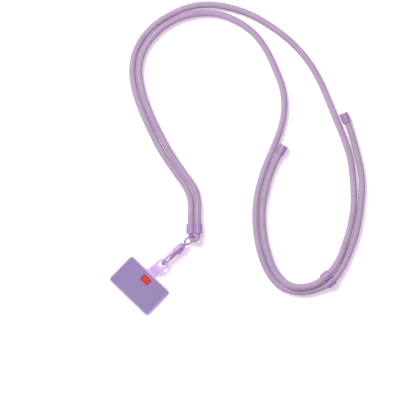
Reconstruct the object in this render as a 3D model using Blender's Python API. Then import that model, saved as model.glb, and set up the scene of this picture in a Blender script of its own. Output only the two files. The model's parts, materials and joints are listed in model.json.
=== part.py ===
"""A crossbody strap for a phone, lying flat on a surface.

One round knitted cord is folded through a swivel eye, runs double through a collar, makes the loop
that goes over the head, passes a slider and ends in two caps. A snap hook on the swivel holds the
tab of a thin patch, which is laid under a hard cover when the strap is worn.

Metres, +Z up. The origin is the middle of the patch's underside, on the surface z = 0.
"""

import math

import bmesh
import bpy
from mathutils import Matrix, Vector

# Fits
GAP = 0.0003
CORD_FIT = 0.0004

# How the patch lies and the tab is pulled, seen from above, and how far the hook and the eye lean up
LAY = math.radians(46.0)
PULL = math.radians(41.5)
HOOK_ROLL = math.radians(62.0)
EYE_ROLL = math.radians(50.0)

# Patch, its rim, its tab and the tab's hole
PATCH_LONG = 0.058
PATCH_DEEP = 0.036
PATCH_T = 0.0010
PATCH_CORNER = 0.004
RIM_W = 0.0016
RIM_H = 0.0002
TAB_W = 0.0115
TAB_T = 0.0009
TAB_ROOT_R = 0.0025
TAB_SEAT = 0.0012
HOLE_OUT = 0.016
HOLE_R = 0.0034
EYELET_T = 0.0013
EYELET_LIP = 0.0003
EYELET_CHAMFER = 0.0003

# Label on the patch
LABEL_LONG = 0.0107
LABEL_DEEP = 0.0072
LABEL_T = 0.0005
LABEL_CORNER = 0.0008
LABEL_OUT = 0.0095
LABEL_GAP = 0.0001

# Snap hook: a wire bow that swells into a flat shoulder
HOOK_LONG = 0.0313
BOW_HALF = 0.0041
WIRE_R = 0.0013
WIRE_FLAT = 0.0003
TIP_R = 0.0011
SPINE_R = 0.0017
BOW_PLAY = 0.0009
TIP_RUN = 0.0023
SHOULDER_T = 0.0044
SHOULDER_CHAMFER = 0.0005
SHOULDER_R = 0.0026
SHOULDER_IN = 0.0012
SPINE_RUN_IN = 0.0102
WALL_R = 0.0022
WALL_SIDE = 0.0014
WALL_T = 0.0032
POCKET_LONG = 0.0024

# Lever that shuts the hook, and the pin that it turns on
PIVOT_BACK = 0.0086
PIVOT_SIDE = 0.0034
CHEEK_R = 0.0026
LEVER_T = 0.0018
LEVER_ROOT_R = 0.0023
LEVER_BELLY_BACK = 0.0065
LEVER_BELLY_SIDE = 0.0010
LEVER_BELLY_R = 0.0019
LEVER_CHAMFER = 0.0003
NUB_T = 0.0015
NUB_ROOT_R = 0.0013
NUB_TIP_R = 0.0009
NUB_BACK = 0.0022
NUB_OUT = 0.0031
PIN_R = 0.0009
PIN_HEAD_R = 0.0014
PIN_HEAD_T = 0.0004

# Swivel eye
POST_R = 0.00115
HEAD_R = 0.0020
HEAD_T = 0.0012
BOSS_R = 0.0021
BOSS_LONG = 0.0019
EYE_WIRE_R = 0.0010
EYE_HALF = 0.0050
EYE_LONG = 0.0122

# Cord, its fold round the eye, and the collar over both
CORD_R = 0.0034
CORD_STEP = 4 * CORD_R
STRAND_HALF = 0.00375
FOLD_THIN = 0.0021
FOLD_TALL = 0.0028
FOLD_HALF = 0.0044
FOLD_RUN = 0.0025
FOLD_RISE = 0.0036
SEAT_ACROSS = 0.0006
SEAT_RUN = 0.0027
COLLAR_LONG = 0.0103
COLLAR_WALL = 0.0008
COLLAR_FLARE = 0.0002
COLLAR_CHAMFER = 0.0004

# Slider and end caps
SLIDER_LONG = 0.0098
SLIDER_WALL = 0.0008
SLIDER_FIT = 0.0007
SLIDER_CHAMFER = 0.0005
CAP_LONG = 0.0108
CAP_WALL = 0.0006
CAP_FLOOR = 0.0016
CAP_FLARE = 0.0002
CAP_CHAMFER = 0.0004

# The cord's two strands, in millimetres from the middle of the collar's lower mouth, at the surface
SLIDER_ON_OUTER = (141.4, -46.4, 8.0)
SLIDER_ON_INNER = (147.3, -52.2, 5.3)
OUTER_ROUTE = [
    (-3.75, 20.0, 4.8), (-3.9, 36.0, 3.8), (-8.6, 49.0, 3.5), (-22.2, 68.6, 3.5), (-36.4, 90.2, 3.5),
    (-47.6, 112.0, 3.5), (-57.2, 133.7, 3.5), (-64.3, 155.1, 3.5), (-67.0, 176.6, 3.5),
    (-62.6, 198.4, 3.5), (-47.9, 220.2, 3.5), (-26.1, 235.8, 3.5), (-4.5, 244.6, 3.5),
    (17.1, 246.9, 3.5), (38.7, 243.6, 3.5), (60.3, 236.4, 3.5), (81.9, 224.1, 3.5),
    (103.5, 207.4, 3.5), (121.7, 187.4, 3.5), (134.7, 165.8, 3.5), (144.2, 144.2, 3.5),
    (153.0, 122.6, 3.5), (161.7, 101.0, 3.5), (168.3, 79.4, 3.5),
    (171.9, 36.2, 3.5), (169.6, 14.6, 3.5), (163.8, -7.0, 3.7), (155.2, -28.6, 5.6), SLIDER_ON_OUTER,
    (125.0, -55.8, 8.7), (103.5, -55.9, 8.9), (86.6, -40.0, 7.2), (78.2, -18.2, 4.4),
    (74.2, 3.6, 3.5), (73.4, 25.4, 3.5), (77.0, 46.9, 3.5), (83.3, 68.4, 3.5), (90.2, 83.2, 4.5),
    (95.6, 93.4, 4.9),
]
INNER_ROUTE = [
    (3.75, 20.0, 4.8), (3.6, 36.0, 3.8), (0.2, 49.0, 3.5), (-13.3, 68.6, 3.5), (-27.6, 90.2, 3.5),
    (-39.2, 111.7, 3.5), (-49.2, 133.2, 3.5), (-56.3, 154.9, 3.5), (-59.5, 176.6, 3.5),
    (-54.2, 198.0, 3.5), (-37.3, 219.4, 3.5), (-15.9, 232.2, 3.5), (6.3, 237.4, 3.5),
    (27.8, 236.2, 3.5), (49.6, 227.0, 3.5), (65.7, 214.4, 3.5), (77.4, 198.2, 3.5),
    (87.6, 176.6, 3.5), (95.3, 155.0, 3.5), (96.9, 133.4, 3.5), (92.6, 111.8, 3.5),
    (84.0, 90.2, 3.5), (75.2, 68.7, 3.5), (68.9, 47.1, 3.5), (66.0, 25.4, 3.5),
    (66.6, 3.6, 3.5), (70.4, -18.0, 3.5), (78.6, -39.6, 3.5), (92.7, -56.8, 3.5),
    (114.3, -63.2, 3.6), (133.0, -59.6, 4.2), SLIDER_ON_INNER, (157.8, -39.4, 4.0),
    (168.0, -17.8, 3.5), (175.1, 3.8, 3.5), (180.7, 47.0, 3.5),
    (179.2, 68.6, 3.5), (166.0, 117.4, 4.5), (161.2, 127.8, 4.9),
]

# How finely round shapes are faceted, and the angle from which an edge is shaded sharp
ROUND = 24
WIRE_SIDES = 12
OUTLINE_POINTS = 32
SHARP = math.radians(35.0)

# Places that follow from the sizes
shoulder_half = SHOULDER_T / 2
cheek_low = (PIVOT_SIDE + CHEEK_R) * math.sin(HOOK_ROLL) + shoulder_half * math.cos(HOOK_ROLL)
nub_reach = PIVOT_SIDE + NUB_OUT + NUB_TIP_R
nub_low = nub_reach * math.sin(HOOK_ROLL) + NUB_T / 2 * math.cos(HOOK_ROLL)
axis_z = max(cheek_low, nub_low) + GAP
bow_x = HOLE_R - WIRE_R - BOW_PLAY
bow_mid = bow_x + BOW_HALF
hook_end = bow_x - WIRE_R + HOOK_LONG
tip_x = bow_mid + TIP_RUN
pivot_x = hook_end - PIVOT_BACK
boss_x = hook_end + GAP
eye_near = boss_x + BOSS_LONG
eye_far = eye_near + EYE_LONG
collar_r = CORD_R + CORD_FIT + COLLAR_WALL
collar_z = collar_r + COLLAR_FLARE
slider_r = CORD_R + SLIDER_FIT + SLIDER_WALL
cap_r = CORD_R + CORD_FIT + CAP_WALL


def material(name, colour, roughness, metallic=0.0):
    """A plain Principled finish."""
    made = bpy.data.materials.new(name)
    made.use_nodes = True
    shader = made.node_tree.nodes["Principled BSDF"]
    shader.inputs["Base Color"].default_value = (*colour, 1.0)
    shader.inputs["Roughness"].default_value = roughness
    shader.inputs["Metallic"].default_value = metallic
    made.diffuse_color = (*colour, 1.0)
    return made


def place(name, at, turn=(0.0, 0.0, 0.0), parent=None):
    """An empty that other objects are parented to."""
    empty = bpy.data.objects.new(name, None)
    bpy.context.collection.objects.link(empty)
    empty.location = at
    empty.rotation_euler = turn
    empty.parent = parent
    return empty


def solid(name, rings, parent, finish, closed=False):
    """One closed body lofted through rings of equal point counts; closed joins the last to the first."""
    mesh = bpy.data.meshes.new(name)
    bm = bmesh.new()
    rows = [[bm.verts.new(point) for point in ring] for ring in rings]
    count = len(rows[0])
    pairs = list(zip(rows, rows[1:]))
    if closed:
        pairs.append((rows[-1], rows[0]))
    for low, high in pairs:
        for i in range(count):
            j = (i + 1) % count
            bm.faces.new((low[i], low[j], high[j], high[i]))
    if not closed:
        bm.faces.new(rows[0])
        bm.faces.new(rows[-1])
    bmesh.ops.recalc_face_normals(bm, faces=bm.faces)
    bm.to_mesh(mesh)
    bm.free()
    made = bpy.data.objects.new(name, mesh)
    bpy.context.collection.objects.link(made)
    made.parent = parent
    made.data.materials.append(finish)
    mesh.shade_smooth()
    mesh.set_sharp_from_angle(angle=SHARP)
    return made


def combine(made, other, operation):
    """Joins or cuts one object with another, which is used up."""
    step = made.modifiers.new(other.name, "BOOLEAN")
    step.operation = operation
    step.solver = "EXACT"
    step.object = other
    bpy.context.view_layer.update()
    result = bpy.data.meshes.new_from_object(made.evaluated_get(bpy.context.evaluated_depsgraph_get()))
    made.modifiers.clear()
    bpy.data.objects.remove(other)
    result.name = made.name
    result.shade_smooth()
    result.set_sharp_from_angle(angle=SHARP)
    made.data = result


def outline(circles, shrink=0.0):
    """The rounded outline stretched round a few circles, each (x, y, radius), and inset by shrink."""
    points = []
    for i in range(OUTLINE_POINTS):
        angle = 2 * math.pi * (i + 0.5) / OUTLINE_POINTS
        u = Vector((math.cos(angle), math.sin(angle)))
        x, y, r = max(circles, key=lambda c: c[0] * u.x + c[1] * u.y + c[2])
        points.append(Vector((x, y)) + (r - shrink) * u)
    return points


def plate(name, circles, low, high, chamfer, parent, finish):
    """A flat piece of that outline between two heights, its edges broken by a chamfer."""
    rings = []
    for z, shrink in ((low, chamfer), (low + chamfer, 0.0), (high - chamfer, 0.0), (high, chamfer)):
        rings.append([(p.x, p.y, z) for p in outline(circles, shrink)])
    return solid(name, rings, parent, finish)


def corners(long_x, long_y, radius):
    """The four corner circles of a rounded rectangle about the origin."""
    x = long_x / 2 - radius
    y = long_y / 2 - radius
    return [(x, y, radius), (-x, y, radius), (-x, -y, radius), (x, -y, radius)]


def turned(name, profile, parent, finish, sides=ROUND, centre=(0.0, 0.0)):
    """A round solid along the parent's X axis, from (x, radius) pairs."""
    rings = []
    for x, r in profile:
        ring = []
        for i in range(sides):
            a = 2 * math.pi * (i + 0.5) / sides
            ring.append((x, centre[0] + r * math.cos(a), centre[1] + r * math.sin(a)))
        rings.append(ring)
    return solid(name, rings, parent, finish)


def wire_ring(centre, across, up, half_across, half_up):
    """One oval section of a wire or cord."""
    ring = []
    for i in range(WIRE_SIDES):
        a = 2 * math.pi * (i + 0.5) / WIRE_SIDES
        ring.append(centre + half_across * math.cos(a) * across + half_up * math.sin(a) * up)
    return ring


def ease(share):
    """Runs from 0 to 1 with level ends."""
    share = min(max(share, 0.0), 1.0)
    return share * share * (3.0 - 2.0 * share)


def spline_point(a, b, c, d, t):
    """A point between b and c on the smooth curve through a, b, c and d, spaced by their distances."""
    k1 = (b - a).length ** 0.5
    k2 = k1 + (c - b).length ** 0.5
    k3 = k2 + (d - c).length ** 0.5
    k = k1 + (k2 - k1) * t
    ab = a + (b - a) * (k / k1)
    bc = b + (c - b) * ((k - k1) / (k2 - k1))
    cd = c + (d - c) * ((k - k2) / (k3 - k2))
    abc = ab + (bc - ab) * (k / k2)
    bcd = bc + (cd - bc) * ((k - k1) / (k3 - k1))
    return abc + (bcd - abc) * ((k - k1) / (k2 - k1))


def smooth_route(points, start, step):
    """Evenly spaced points on the smooth curve from start through a strand's own points."""
    marks = [Vector(start)] + [Vector(p) / 1000 for p in points]
    marks = [2 * marks[0] - marks[1]] + marks + [2 * marks[-1] - marks[-2]]
    fine = []
    for a, b, c, d in zip(marks, marks[1:], marks[2:], marks[3:]):
        fine += [spline_point(a, b, c, d, i / 16) for i in range(16)]
    fine.append(marks[-2])
    run = [0.0]
    for p, q in zip(fine, fine[1:]):
        run.append(run[-1] + (q - p).length)
    count = round(run[-1] / step)
    made = []
    i = 0
    for n in range(count + 1):
        s = run[-1] * n / count
        while i < len(run) - 2 and run[i + 1] < s:
            i += 1
        made.append(fine[i].lerp(fine[i + 1], (s - run[i]) / (run[i + 1] - run[i])))
    return made


def axis_turn(direction, up=(0.0, 0.0, 1.0)):
    """The turn that lays an object's X along direction and its Z as near to up as it can."""
    x = Vector(direction).normalized()
    y = Vector(up).cross(x).normalized()
    return Matrix((x, y, x.cross(y))).transposed().to_euler()


def make_patch(at_patch, at_hole, finish):
    """Thin patch with a raised rim, and a tab that lifts to the hook's height and ends in an eyelet."""
    circles = corners(PATCH_DEEP, PATCH_LONG, PATCH_CORNER)
    rings = []
    for z, shrink in ((0.0, 0.0), (PATCH_T, 0.0), (PATCH_T, RIM_W), (PATCH_T - RIM_H, RIM_W)):
        rings.append([(p.x, p.y, z) for p in outline(circles, shrink)])
    patch = solid("tether_patch", rings, at_patch, finish)
    rows = []
    steps = 20
    last = -HOLE_R / 4
    first = -HOLE_OUT - TAB_SEAT
    lift_end = -HOLE_R - EYELET_T
    low = PATCH_T / 2 - axis_z
    slope_step = (last - first) / steps / 2

    def height(x):
        return low * (1.0 - ease((x + HOLE_OUT) / (lift_end + HOLE_OUT)))

    for i in range(steps + 1):
        x = first + (last - first) * i / steps
        tilt = math.atan2(height(x + slope_step) - height(x - slope_step), 2 * slope_step)
        out = min(max(x + HOLE_OUT, 0.0), TAB_ROOT_R)
        half = TAB_W / 2 + TAB_ROOT_R - math.sqrt(TAB_ROOT_R ** 2 - (TAB_ROOT_R - out) ** 2)
        dx = TAB_T / 2 * math.sin(tilt)
        dz = TAB_T / 2 * math.cos(tilt)
        z = height(x)
        rows.append([(x + dx, -half, z - dz), (x + dx, half, z - dz),
                     (x - dx, half, z + dz), (x - dx, -half, z + dz)])
    tab = solid("tab_strip", rows, at_hole, finish)
    combine(patch, tab, "UNION")
    eyelet = plate("tab_eyelet", [(0.0, 0.0, TAB_W / 2 + EYELET_LIP)], -EYELET_T / 2, EYELET_T / 2,
                   EYELET_CHAMFER, at_hole, finish)
    combine(patch, eyelet, "UNION")
    hole = plate("tab_hole", [(0.0, 0.0, HOLE_R)], -2 * EYELET_T, 2 * EYELET_T, 0.0, at_hole, finish)
    combine(patch, hole, "DIFFERENCE")


def make_label(at_patch, finish):
    """Small plain label on the patch, by its tab."""
    circles = [(x + LABEL_OUT, y, r) for x, y, r in corners(LABEL_DEEP, LABEL_LONG, LABEL_CORNER)]
    low = PATCH_T - RIM_H + LABEL_GAP
    plate("patch_label", circles, low, low + LABEL_T, LABEL_T / 4, at_patch, finish)


def bow_path():
    """The hook wire's middle line from the shoulder down the spine and round the bow to its tip."""
    path = []
    start = hook_end - SHOULDER_R - SHOULDER_IN
    straight = 8
    for i in range(straight):
        path.append((start + (bow_mid - start) * i / straight, BOW_HALF, math.pi / 2))
    turns = 12
    for i in range(turns + 1):
        a = math.pi / 2 + math.pi * i / turns
        path.append((bow_mid + BOW_HALF * math.cos(a), BOW_HALF * math.sin(a), a))
    path.append((tip_x - TIP_R / 2, -BOW_HALF, 3 * math.pi / 2))
    path.append((tip_x, -BOW_HALF, 3 * math.pi / 2))
    return path


def make_hook(at_hook, finish):
    """Snap hook in one casting, with a slot for the lever, a pocket and a bore for the swivel."""
    path = bow_path()
    rings = []
    for i, (x, y, angle) in enumerate(path):
        share = i / (len(path) - 1)
        r = SPINE_R + (WIRE_R - SPINE_R) * ease(2 * share)
        if i == len(path) - 1:
            r = TIP_R
        out = Vector((math.cos(angle), math.sin(angle), 0.0))
        flat = r + WIRE_FLAT * (1.0 - share)
        rings.append(wire_ring(Vector((x, y, 0.0)), out, Vector((0.0, 0.0, 1.0)), r, flat))
    hook = solid("snap_hook", rings, at_hook, finish)
    shoulder = plate("hook_shoulder", [
        (hook_end - SHOULDER_R, BOW_HALF - SHOULDER_IN, SHOULDER_R),
        (hook_end - WALL_R, -WALL_SIDE, WALL_R),
        (pivot_x, -PIVOT_SIDE, CHEEK_R),
        (hook_end - SPINE_RUN_IN, BOW_HALF, SPINE_R),
    ], -shoulder_half, shoulder_half, SHOULDER_CHAMFER, at_hook, finish)
    combine(hook, shoulder, "UNION")
    slot_half = LEVER_T / 2 + GAP
    slot_x = hook_end - SPINE_RUN_IN - SPINE_R
    slot = plate("lever_slot", [
        (pivot_x, -PIVOT_SIDE, CHEEK_R),
        (slot_x, -2 * PIVOT_SIDE, CHEEK_R),
        (slot_x, BOW_HALF - SPINE_R - CHEEK_R, CHEEK_R),
    ], -slot_half, slot_half, 0.0, at_hook, finish)
    combine(hook, slot, "DIFFERENCE")
    pocket_x = hook_end - WALL_T - POCKET_LONG / 2
    head_room = HEAD_R + GAP
    pocket = plate("head_pocket", [
        (pocket_x + dx, dy, GAP)
        for dx in (GAP - POCKET_LONG / 2, POCKET_LONG / 2 - GAP) for dy in (GAP - head_room, head_room - GAP)
    ], -SHOULDER_T, SHOULDER_T, 0.0, at_hook, finish)
    combine(hook, pocket, "DIFFERENCE")
    bore = turned("swivel_bore", [(pocket_x, POST_R + GAP), (hook_end + WALL_T, POST_R + GAP)], at_hook, finish)
    combine(hook, bore, "DIFFERENCE")


def pin_shape(name, radius, half, parent, finish):
    """A short round bar across the hook's plane, through the lever's pivot."""
    circle = [(0.0, 0.0, radius)]
    return plate(name, circle, -half, half, 0.0, parent, finish)


def make_lever(at_pivot, finish):
    """Lever with a finger that meets the bow's tip and a nub for the thumb, and its rivet."""
    finger = tip_x + GAP + TIP_R - pivot_x
    lever = plate("hook_lever", [
        (0.0, 0.0, LEVER_ROOT_R),
        (-LEVER_BELLY_BACK, LEVER_BELLY_SIDE, LEVER_BELLY_R),
        (finger, PIVOT_SIDE - BOW_HALF, TIP_R),
    ], -LEVER_T / 2, LEVER_T / 2, LEVER_CHAMFER, at_pivot, finish)
    nub = plate("lever_nub", [
        (-NUB_BACK / 2, -NUB_OUT / 2, NUB_ROOT_R),
        (-NUB_BACK, -NUB_OUT, NUB_TIP_R),
    ], -NUB_T / 2, NUB_T / 2, LEVER_CHAMFER, at_pivot, finish)
    combine(lever, nub, "UNION")
    eye = pin_shape("lever_bore", PIN_R + GAP, LEVER_T, at_pivot, finish)
    combine(lever, eye, "DIFFERENCE")
    cheek_bore = pin_shape("cheek_bore", PIN_R + GAP, SHOULDER_T, at_pivot, finish)
    combine(bpy.data.objects["snap_hook"], cheek_bore, "DIFFERENCE")
    head = shoulder_half + GAP / 3
    rings = []
    for z, r in ((-head - PIN_HEAD_T, PIN_HEAD_R - PIN_HEAD_T), (-head, PIN_HEAD_R), (-head, PIN_R),
                 (head, PIN_R), (head, PIN_HEAD_R), (head + PIN_HEAD_T, PIN_HEAD_R - PIN_HEAD_T)):
        rings.append([(p.x, p.y, z) for p in outline([(0.0, 0.0, r)])])
    solid("lever_pin", rings, at_pivot, finish)


def make_eye(at_eye, finish):
    """Oval wire eye with the headed post that turns in the hook's end wall."""
    near = eye_near + EYE_HALF
    far = eye_far - EYE_HALF
    rings = []
    turns = 24
    for i in range(turns):
        a = 2 * math.pi * (i + 0.5) / turns
        out = Vector((math.cos(a), math.sin(a), 0.0))
        middle = Vector((far if out.x > 0.0 else near, 0.0, 0.0))
        rings.append(wire_ring(middle + EYE_HALF * out, out, Vector((0.0, 0.0, 1.0)), EYE_WIRE_R, EYE_WIRE_R))
    eye = solid("swivel_eye", rings, at_eye, finish, closed=True)
    head_x = hook_end - WALL_T - GAP
    post = turned("swivel_post", [
        (head_x - HEAD_T, HEAD_R), (head_x, HEAD_R), (head_x, POST_R), (boss_x, POST_R),
        (boss_x, BOSS_R), (boss_x + BOSS_LONG / 2, BOSS_R), (eye_near + EYE_WIRE_R / 2, EYE_WIRE_R),
    ], at_eye, finish)
    combine(eye, post, "UNION")


def fold_section(s):
    """The folded cord's half thickness and half height, s along it from the collar's mouth."""
    share = ease(1.0 + s / (COLLAR_LONG / 2))
    thin = CORD_R + (FOLD_THIN - CORD_R) * share
    tall = CORD_R + (FOLD_TALL - CORD_R) * share
    return thin, tall


def make_fold(at_collar, finish):
    """The cord's middle, squeezed thinner where it folds round the eye; its ends are in the collar."""
    path = []
    legs = 8
    start = COLLAR_LONG / 2 - GAP / 2
    for i in range(legs):
        s = -start + (start + FOLD_RUN) * i / legs
        path.append((STRAND_HALF + (FOLD_HALF - STRAND_HALF) * ease(s / FOLD_RUN), s, 0.0))
    turns = 12
    for i in range(turns + 1):
        a = math.pi * i / turns
        path.append((FOLD_HALF * math.cos(a), FOLD_RUN + FOLD_HALF * math.sin(a), a))
    path += [(-x, s, math.pi) for x, s, a in reversed(path[:legs])]
    rings = []
    reach = FOLD_RUN + FOLD_HALF
    for x, s, a in path:
        thin, tall = fold_section(s)
        centre = Vector((x, -s, FOLD_RISE * ease(s / reach)))
        out = Vector((math.cos(a), -math.sin(a), 0.0))
        rings.append(wire_ring(centre, out, Vector((0.0, 0.0, 1.0)), thin, tall))
    solid("cord_fold", rings, at_collar, finish)


def double_barrel(name, profile, half, bore, parent, finish):
    """Two round barrels side by side along the parent's X, joined where they meet, each with its bore."""
    body = turned(name, profile, parent, finish, centre=(half, 0.0))
    combine(body, turned(name + "_second", profile, parent, finish, centre=(-half, 0.0)), "UNION")
    low = 2 * profile[0][0] - profile[-1][0]
    high = 2 * profile[-1][0] - profile[0][0]
    for side in (-half, half):
        cutter = turned(name + "_bore", [(low, bore), (high, bore)], parent, finish, centre=(side, 0.0))
        combine(body, cutter, "DIFFERENCE")


def make_collar(at_collar, finish):
    """Two joined barrels over the doubled cord, a little wider at the lower mouth."""
    mouth = collar_r + COLLAR_FLARE
    upright = place("collar_axis", (0.0, 0.0, 0.0), (0.0, 0.0, math.pi / 2), at_collar)
    double_barrel("cord_collar", [
        (0.0, mouth - COLLAR_CHAMFER), (COLLAR_CHAMFER, mouth),
        (COLLAR_LONG - COLLAR_CHAMFER, collar_r), (COLLAR_LONG, collar_r - COLLAR_CHAMFER),
    ], STRAND_HALF, CORD_R + CORD_FIT, upright, finish)


def make_strand(name, points, side, at_collar, finish):
    """One strand as a round tube from the collar's middle to its cap; gives back its points."""
    start = (side * STRAND_HALF, COLLAR_LONG / 2 + GAP / 2, collar_z)
    route = smooth_route(points, start, CORD_STEP)
    curve = bpy.data.curves.new(name, "CURVE")
    curve.dimensions = "3D"
    curve.bevel_depth = CORD_R
    curve.bevel_resolution = 4
    curve.use_fill_caps = True
    line = curve.splines.new("POLY")
    line.points.add(len(route) - 1)
    for point, spot in zip(line.points, route):
        point.co = (*spot, 1.0)
    strand = bpy.data.objects.new(name, curve)
    bpy.context.collection.objects.link(strand)
    strand.parent = at_collar
    strand.location.z = -collar_z
    curve.materials.append(finish)
    return route


def make_cap(name, route, at_collar, finish):
    """A cup over a strand's end, along its last stretch."""
    end = route[-1]
    along = (end - route[-2]).normalized()
    seat = place(name + "_seat", end - Vector((0.0, 0.0, collar_z)), axis_turn(along), at_collar)
    bottom = GAP + CAP_FLOOR
    mouth = bottom - CAP_LONG
    bore = CORD_R + CORD_FIT
    wide = cap_r + CAP_FLARE
    turned(name, [
        (GAP, bore), (mouth, bore), (mouth, cap_r - CAP_CHAMFER / 4), (mouth + CAP_CHAMFER, cap_r),
        (bottom - CAP_CHAMFER, wide), (bottom, wide - CAP_CHAMFER),
    ], seat, finish)


def stretch(route, spot, reach):
    """The middle and the direction of the stretch of a strand that reaches to each side of a spot."""
    parts = 20
    fine = [p.lerp(q, i / parts) for p, q in zip(route, route[1:]) for i in range(parts)]
    nearest = min(range(len(fine)), key=lambda i: (fine[i] - spot).length)
    count = round(reach / CORD_STEP * parts)
    first = fine[nearest - count]
    last = fine[nearest + count]
    return (first + 2 * fine[nearest] + last) / 4, (last - first).normalized()


def make_slider(outer_route, inner_route, at_collar, finish):
    """Two joined barrels, one on each strand, that set the loop's size."""
    on_outer, outer_way = stretch(outer_route, Vector(SLIDER_ON_OUTER) / 1000, SLIDER_LONG / 2)
    on_inner, inner_way = stretch(inner_route, Vector(SLIDER_ON_INNER) / 1000, SLIDER_LONG / 2)
    across = on_outer - on_inner
    half = across.length / 2
    along = inner_way - outer_way
    middle = (on_outer + on_inner) / 2 - Vector((0.0, 0.0, collar_z))
    seat = place("slider_seat", middle, axis_turn(along, along.cross(across)), at_collar)
    reach = SLIDER_LONG / 2
    double_barrel("slider", [
        (-reach, slider_r - SLIDER_CHAMFER), (SLIDER_CHAMFER - reach, slider_r),
        (reach - SLIDER_CHAMFER, slider_r), (reach, slider_r - SLIDER_CHAMFER),
    ], half, CORD_R + SLIDER_FIT, seat, finish)


def main():
    """Builds every piece in its place."""
    for old in list(bpy.data.objects):
        bpy.data.objects.remove(old)
    knit = material("knitted_cord", (0.40, 0.29, 0.48), 0.85)
    painted = material("painted_metal", (0.42, 0.27, 0.55), 0.40)
    moulded = material("moulded_plastic", (0.42, 0.27, 0.55), 0.50)
    sheet = material("patch_sheet", (0.50, 0.36, 0.60), 0.45)
    red = material("label_red", (0.70, 0.02, 0.04), 0.50)

    at_patch = place("patch_place", (0.0, 0.0, 0.0), (0.0, 0.0, LAY))
    root = Vector((math.cos(LAY), math.sin(LAY), 0.0)) * (PATCH_DEEP / 2)
    pull = Vector((math.cos(PULL), math.sin(PULL), 0.0))
    hole_spot = root + pull * HOLE_OUT + Vector((0.0, 0.0, axis_z))
    at_hole = place("tab_place", hole_spot, (0.0, 0.0, PULL))
    at_hook = place("hook_place", hole_spot, (HOOK_ROLL, 0.0, PULL))
    at_pivot = place("lever_place", (pivot_x, -PIVOT_SIDE, 0.0), parent=at_hook)
    at_eye = place("eye_place", hole_spot, (EYE_ROLL, 0.0, PULL))
    eye_spot = hole_spot + pull * eye_far
    at_collar = place("collar_place", (eye_spot.x + SEAT_ACROSS, eye_spot.y + SEAT_RUN, collar_z))

    make_patch(at_patch, at_hole, sheet)
    make_label(at_patch, red)
    make_hook(at_hook, painted)
    make_lever(at_pivot, painted)
    make_eye(at_eye, painted)
    make_fold(at_collar, knit)
    make_collar(at_collar, moulded)
    outer = make_strand("neck_cord_outer", OUTER_ROUTE, -1, at_collar, knit)
    inner = make_strand("neck_cord_inner", INNER_ROUTE, 1, at_collar, knit)
    make_cap("end_cap_a", outer, at_collar, moulded)
    make_cap("end_cap_b", inner, at_collar, moulded)
    make_slider(outer, inner, at_collar, moulded)


main()
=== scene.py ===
"""The looks of a crossbody strap that lies flat on a pale floor, seen from straight above."""

import json
import math

import bmesh
import bpy
from mathutils import Matrix, Vector


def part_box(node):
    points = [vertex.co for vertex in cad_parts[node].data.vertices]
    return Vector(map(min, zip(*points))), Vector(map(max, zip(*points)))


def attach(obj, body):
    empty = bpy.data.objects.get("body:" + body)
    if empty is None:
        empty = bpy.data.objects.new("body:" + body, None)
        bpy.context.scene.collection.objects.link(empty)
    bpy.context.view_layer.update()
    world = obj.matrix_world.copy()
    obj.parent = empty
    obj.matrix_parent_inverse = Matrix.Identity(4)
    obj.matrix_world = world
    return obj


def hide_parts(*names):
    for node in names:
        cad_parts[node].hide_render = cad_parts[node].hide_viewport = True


bl_info = {
    "name": "Crossbody Strap",
    "version": (1, 0, 0),
    "blender": (4, 5, 0),
    "location": "3D View > Sidebar > Strap",
    "description": "Dresses a knitted crossbody strap with its snap hook, fittings and patch",
    "category": "Object",
}

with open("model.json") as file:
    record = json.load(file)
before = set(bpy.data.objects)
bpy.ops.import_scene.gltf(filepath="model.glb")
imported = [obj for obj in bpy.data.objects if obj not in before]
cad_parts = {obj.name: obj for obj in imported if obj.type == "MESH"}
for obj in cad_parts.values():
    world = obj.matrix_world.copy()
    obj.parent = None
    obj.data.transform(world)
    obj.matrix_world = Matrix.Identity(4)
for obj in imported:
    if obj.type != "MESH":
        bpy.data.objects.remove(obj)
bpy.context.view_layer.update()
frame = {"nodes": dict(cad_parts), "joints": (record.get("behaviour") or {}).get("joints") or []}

# The photograph's frame: its scale, and the floor point in the middle of the image
MM_PER_PIXEL = 1.08
IMAGE_PIXELS = 400
VIEW_CENTRE = (0.0654, 0.0927, 0.0)
CAMERA_HEIGHT = 1.6
SENSOR = 36.0

# The cord's two strands, in millimetres from the middle of the collar's lower mouth, at the floor
SLIDER_ON_OUTER = (141.4, -46.4, 8.0)
SLIDER_ON_INNER = (147.3, -52.2, 5.3)
OUTER_ROUTE = [
    (-3.75, 20.0, 4.8), (-3.9, 36.0, 3.8), (-8.6, 49.0, 3.5), (-22.2, 68.6, 3.5), (-36.4, 90.2, 3.5),
    (-47.6, 112.0, 3.5), (-57.2, 133.7, 3.5), (-64.3, 155.1, 3.5), (-67.0, 176.6, 3.5),
    (-62.6, 198.4, 3.5), (-47.9, 220.2, 3.5), (-26.1, 235.8, 3.5), (-4.5, 244.6, 3.5),
    (17.1, 246.9, 3.5), (38.7, 243.6, 3.5), (60.3, 236.4, 3.5), (81.9, 224.1, 3.5),
    (103.5, 207.4, 3.5), (121.7, 187.4, 3.5), (134.7, 165.8, 3.5), (144.2, 144.2, 3.5),
    (153.0, 122.6, 3.5), (161.7, 101.0, 3.5), (168.3, 79.4, 3.5),
    (171.9, 36.2, 3.5), (169.6, 14.6, 3.5), (163.8, -7.0, 3.7), (155.2, -28.6, 5.6), SLIDER_ON_OUTER,
    (125.0, -55.8, 8.7), (103.5, -55.9, 8.9), (86.6, -40.0, 7.2), (78.2, -18.2, 4.4),
    (74.2, 3.6, 3.5), (73.4, 25.4, 3.5), (77.0, 46.9, 3.5), (83.3, 68.4, 3.5), (90.2, 83.2, 4.5),
    (95.6, 93.4, 4.9),
]
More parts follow.
